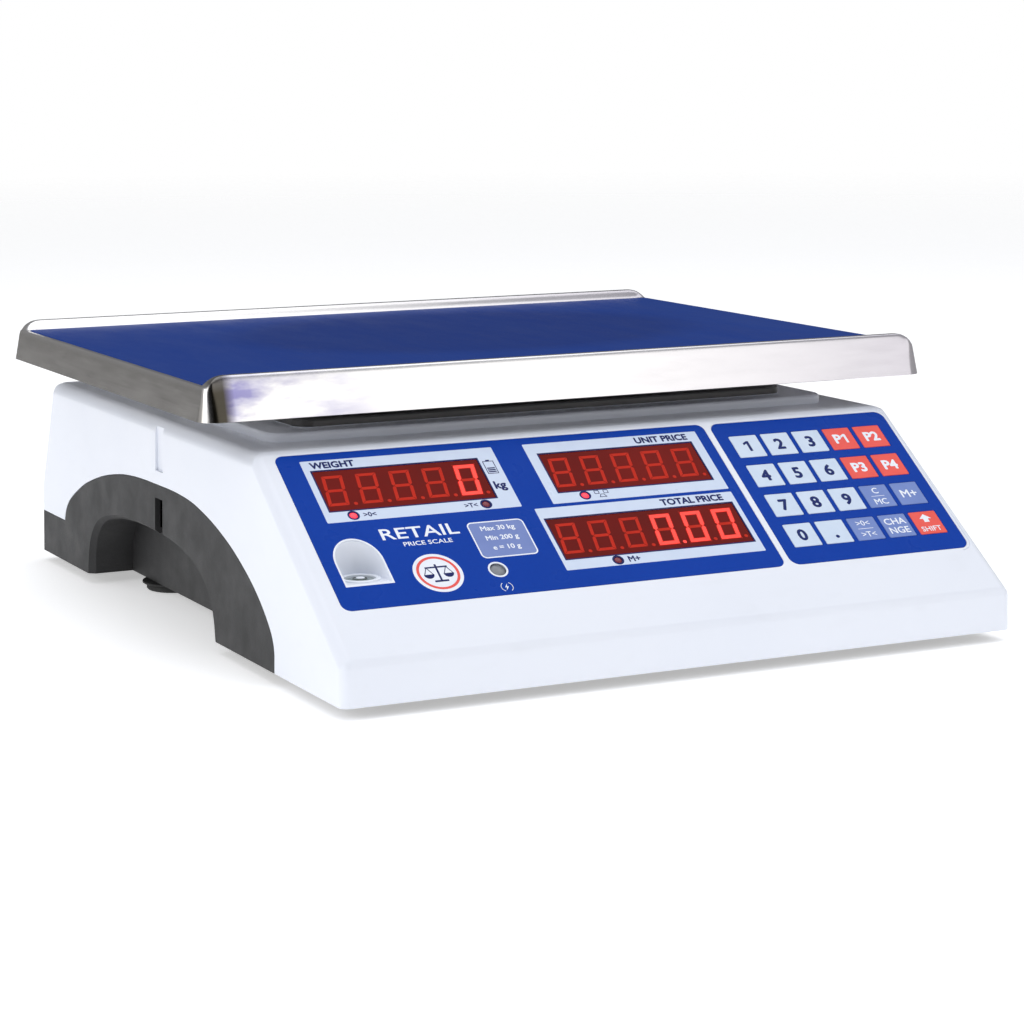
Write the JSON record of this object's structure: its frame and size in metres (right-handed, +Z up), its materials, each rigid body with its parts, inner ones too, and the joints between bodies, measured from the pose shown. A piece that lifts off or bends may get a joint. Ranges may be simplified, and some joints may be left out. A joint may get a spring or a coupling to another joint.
{
  "type": "retail price scale",
  "caption": "Counter scale with a flat stainless weighing pan over a white wedge housing, sloped display and keypad panel, dark base with hand holds",
  "frame": {"origin": "centre of the whole object's outline on the table, at the bottom of the feet", "axes": "+X to the right of a person facing the keypad, +Y away from that person, +Z up"},
  "size_m": [0.3576, 0.39, 0.126],
  "materials": {
    "white_abs": "satin",
    "charcoal_abs": "fine texture",
    "blue_overlay": "satin printed film",
    "red_filter": "tinted acrylic",
    "led_face": "moulded",
    "lamp_red": "diffused lens",
    "circuit_board": "solder mask",
    "membrane": "film",
    "level_vial": "clear acrylic",
    "stainless": "bright",
    "blue_film": "smooth film",
    "cast_aluminium": "as cast",
    "machined_aluminium": "machined",
    "pad_rubber": "matt",
    "zinc_steel": "zinc plated",
    "black_plastic": "satin",
    "battery_case": "moulded",
    "foot_rubber": "matt",
    "key_pale": "satin film",
    "key_coral": "satin film",
    "key_slate": "satin film"
  },
  "bodies": {
    "housing": {"upper_housing": "white_abs", "lower_base": "charcoal_abs", "display_overlay": "blue_overlay", "keypad_overlay": "blue_overlay", "weight_window": "red_filter", "unit_price_window": "red_filter", "total_price_window": "red_filter", "weight_digits": "led_face", "unit_price_digits": "led_face", "total_price_digits": "led_face", "indicator_lamps": "lamp_red", "display_board": "circuit_board", "keypad_membrane": "membrane", "spirit_level": "level_vial", "load_cell": "machined_aluminium", "load_cell_pedestal": "cast_aluminium", "load_cell_bolts": "zinc_steel", "chassis_plate": "zinc_steel", "overload_stop": "zinc_steel", "main_board": "circuit_board", "power_supply": "black_plastic", "battery": "battery_case", "battery_cover": "charcoal_abs", "housing_screws": "zinc_steel", "power_inlet": "black_plastic", "switch_frame": "black_plastic", "rear_overlay": "blue_overlay", "rear_windows": "red_filter", "rear_digits": "led_face", "rear_board": "circuit_board"},
    "carrier": {"pan_carrier": "cast_aluminium", "carrier_pads": "pad_rubber", "carrier_bolts": "zinc_steel"},
    "pan": {"weighing_pan": "stainless", "pan_film": "blue_film"},
    "rocker": {"power_rocker": "black_plastic"},
    "key_1": {"key_1": "key_pale"},
    "key_2": {"key_2": "key_pale"},
    "key_3": {"key_3": "key_pale"},
    "key_p1": {"key_p1": "key_coral"},
    "key_p2": {"key_p2": "key_coral"},
    "key_4": {"key_4": "key_pale"},
    "key_5": {"key_5": "key_pale"},
    "key_6": {"key_6": "key_pale"},
    "key_p3": {"key_p3": "key_coral"},
    "key_p4": {"key_p4": "key_coral"},
    "key_7": {"key_7": "key_pale"},
    "key_8": {"key_8": "key_pale"},
    "key_9": {"key_9": "key_pale"},
    "key_clear": {"key_clear": "key_slate"},
    "key_memory": {"key_memory": "key_slate"},
    "key_0": {"key_0": "key_pale"},
    "key_point": {"key_point": "key_pale"},
    "key_zero": {"key_zero": "key_slate"},
    "key_change": {"key_change": "key_slate"},
    "key_shift": {"key_shift": "key_coral"},
    "foot_front_left": {"foot_front_left": "foot_rubber"},
    "foot_front_right": {"foot_front_right": "foot_rubber"},
    "foot_rear_left": {"foot_rear_left": "foot_rubber"},
    "foot_rear_right": {"foot_rear_right": "foot_rubber"}
  },
  "joints": [
    {"name": "platform_give", "type": "slide", "parent": "housing", "child": "carrier", "axis": [0, 0, 1], "range_m": [-0.0004, 0], "stiffness_N_per_m": 200000, "springref_m": 0.0002, "deforming": ["load_cell"]},
    {"name": "pan_lift_off", "type": "slide", "parent": "carrier", "child": "pan", "axis": [0, 0, 1], "range_m": [0, 0.06]},
    {"name": "rocker_tilt", "type": "hinge", "parent": "housing", "child": "rocker", "pos_m": [0.064, 0.1895, 0.0158], "axis": [-1, 0, 0], "range_deg": [0, 16]},
    {"name": "key_1_press", "type": "slide", "parent": "housing", "child": "key_1", "axis": [0, -0.5821, 0.8131], "range_m": [-0.0004, 0], "stiffness_N_per_m": 1500, "springref_m": 0.0002},
    {"name": "key_2_press", "type": "slide", "parent": "housing", "child": "key_2", "axis": [0, -0.5821, 0.8131], "range_m": [-0.0004, 0], "stiffness_N_per_m": 1500, "springref_m": 0.0002},
    {"name": "key_3_press", "type": "slide", "parent": "housing", "child": "key_3", "axis": [0, -0.5821, 0.8131], "range_m": [-0.0004, 0], "stiffness_N_per_m": 1500, "springref_m": 0.0002},
    {"name": "key_p1_press", "type": "slide", "parent": "housing", "child": "key_p1", "axis": [0, -0.5821, 0.8131], "range_m": [-0.0004, 0], "stiffness_N_per_m": 1500, "springref_m": 0.0002},
    {"name": "key_p2_press", "type": "slide", "parent": "housing", "child": "key_p2", "axis": [0, -0.5821, 0.8131], "range_m": [-0.0004, 0], "stiffness_N_per_m": 1500, "springref_m": 0.0002},
    {"name": "key_4_press", "type": "slide", "parent": "housing", "child": "key_4", "axis": [0, -0.5821, 0.8131], "range_m": [-0.0004, 0], "stiffness_N_per_m": 1500, "springref_m": 0.0002},
    {"name": "key_5_press", "type": "slide", "parent": "housing", "child": "key_5", "axis": [0, -0.5821, 0.8131], "range_m": [-0.0004, 0], "stiffness_N_per_m": 1500, "springref_m": 0.0002},
    {"name": "key_6_press", "type": "slide", "parent": "housing", "child": "key_6", "axis": [0, -0.5821, 0.8131], "range_m": [-0.0004, 0], "stiffness_N_per_m": 1500, "springref_m": 0.0002},
    {"name": "key_p3_press", "type": "slide", "parent": "housing", "child": "key_p3", "axis": [0, -0.5821, 0.8131], "range_m": [-0.0004, 0], "stiffness_N_per_m": 1500, "springref_m": 0.0002},
    {"name": "key_p4_press", "type": "slide", "parent": "housing", "child": "key_p4", "axis": [0, -0.5821, 0.8131], "range_m": [-0.0004, 0], "stiffness_N_per_m": 1500, "springref_m": 0.0002},
    {"name": "key_7_press", "type": "slide", "parent": "housing", "child": "key_7", "axis": [0, -0.5821, 0.8131], "range_m": [-0.0004, 0], "stiffness_N_per_m": 1500, "springref_m": 0.0002},
    {"name": "key_8_press", "type": "slide", "parent": "housing", "child": "key_8", "axis": [0, -0.5821, 0.8131], "range_m": [-0.0004, 0], "stiffness_N_per_m": 1500, "springref_m": 0.0002},
    {"name": "key_9_press", "type": "slide", "parent": "housing", "child": "key_9", "axis": [0, -0.5821, 0.8131], "range_m": [-0.0004, 0], "stiffness_N_per_m": 1500, "springref_m": 0.0002},
    {"name": "key_clear_press", "type": "slide", "parent": "housing", "child": "key_clear", "axis": [0, -0.5821, 0.8131], "range_m": [-0.0004, 0], "stiffness_N_per_m": 1500, "springref_m": 0.0002},
    {"name": "key_memory_press", "type": "slide", "parent": "housing", "child": "key_memory", "axis": [0, -0.5821, 0.8131], "range_m": [-0.0004, 0], "stiffness_N_per_m": 1500, "springref_m": 0.0002},
    {"name": "key_0_press", "type": "slide", "parent": "housing", "child": "key_0", "axis": [0, -0.5821, 0.8131], "range_m": [-0.0004, 0], "stiffness_N_per_m": 1500, "springref_m": 0.0002},
    {"name": "key_point_press", "type": "slide", "parent": "housing", "child": "key_point", "axis": [0, -0.5821, 0.8131], "range_m": [-0.0004, 0], "stiffness_N_per_m": 1500, "springref_m": 0.0002},
    {"name": "key_zero_press", "type": "slide", "parent": "housing", "child": "key_zero", "axis": [0, -0.5821, 0.8131], "range_m": [-0.0004, 0], "stiffness_N_per_m": 1500, "springref_m": 0.0002},
    {"name": "key_change_press", "type": "slide", "parent": "housing", "child": "key_change", "axis": [0, -0.5821, 0.8131], "range_m": [-0.0004, 0], "stiffness_N_per_m": 1500, "springref_m": 0.0002},
    {"name": "key_shift_press", "type": "slide", "parent": "housing", "child": "key_shift", "axis": [0, -0.5821, 0.8131], "range_m": [-0.0004, 0], "stiffness_N_per_m": 1500, "springref_m": 0.0002},
    {"name": "foot_front_left_level", "type": "slide", "parent": "housing", "child": "foot_front_left", "axis": [0, 0, -1], "range_m": [0, 0.006]},
    {"name": "foot_front_right_level", "type": "slide", "parent": "housing", "child": "foot_front_right", "axis": [0, 0, -1], "range_m": [0, 0.006]},
    {"name": "foot_rear_left_level", "type": "slide", "parent": "housing", "child": "foot_rear_left", "axis": [0, 0, -1], "range_m": [0, 0.006]},
    {"name": "foot_rear_right_level", "type": "slide", "parent": "housing", "child": "foot_rear_right", "axis": [0, 0, -1], "range_m": [0, 0.006]}
  ]
}
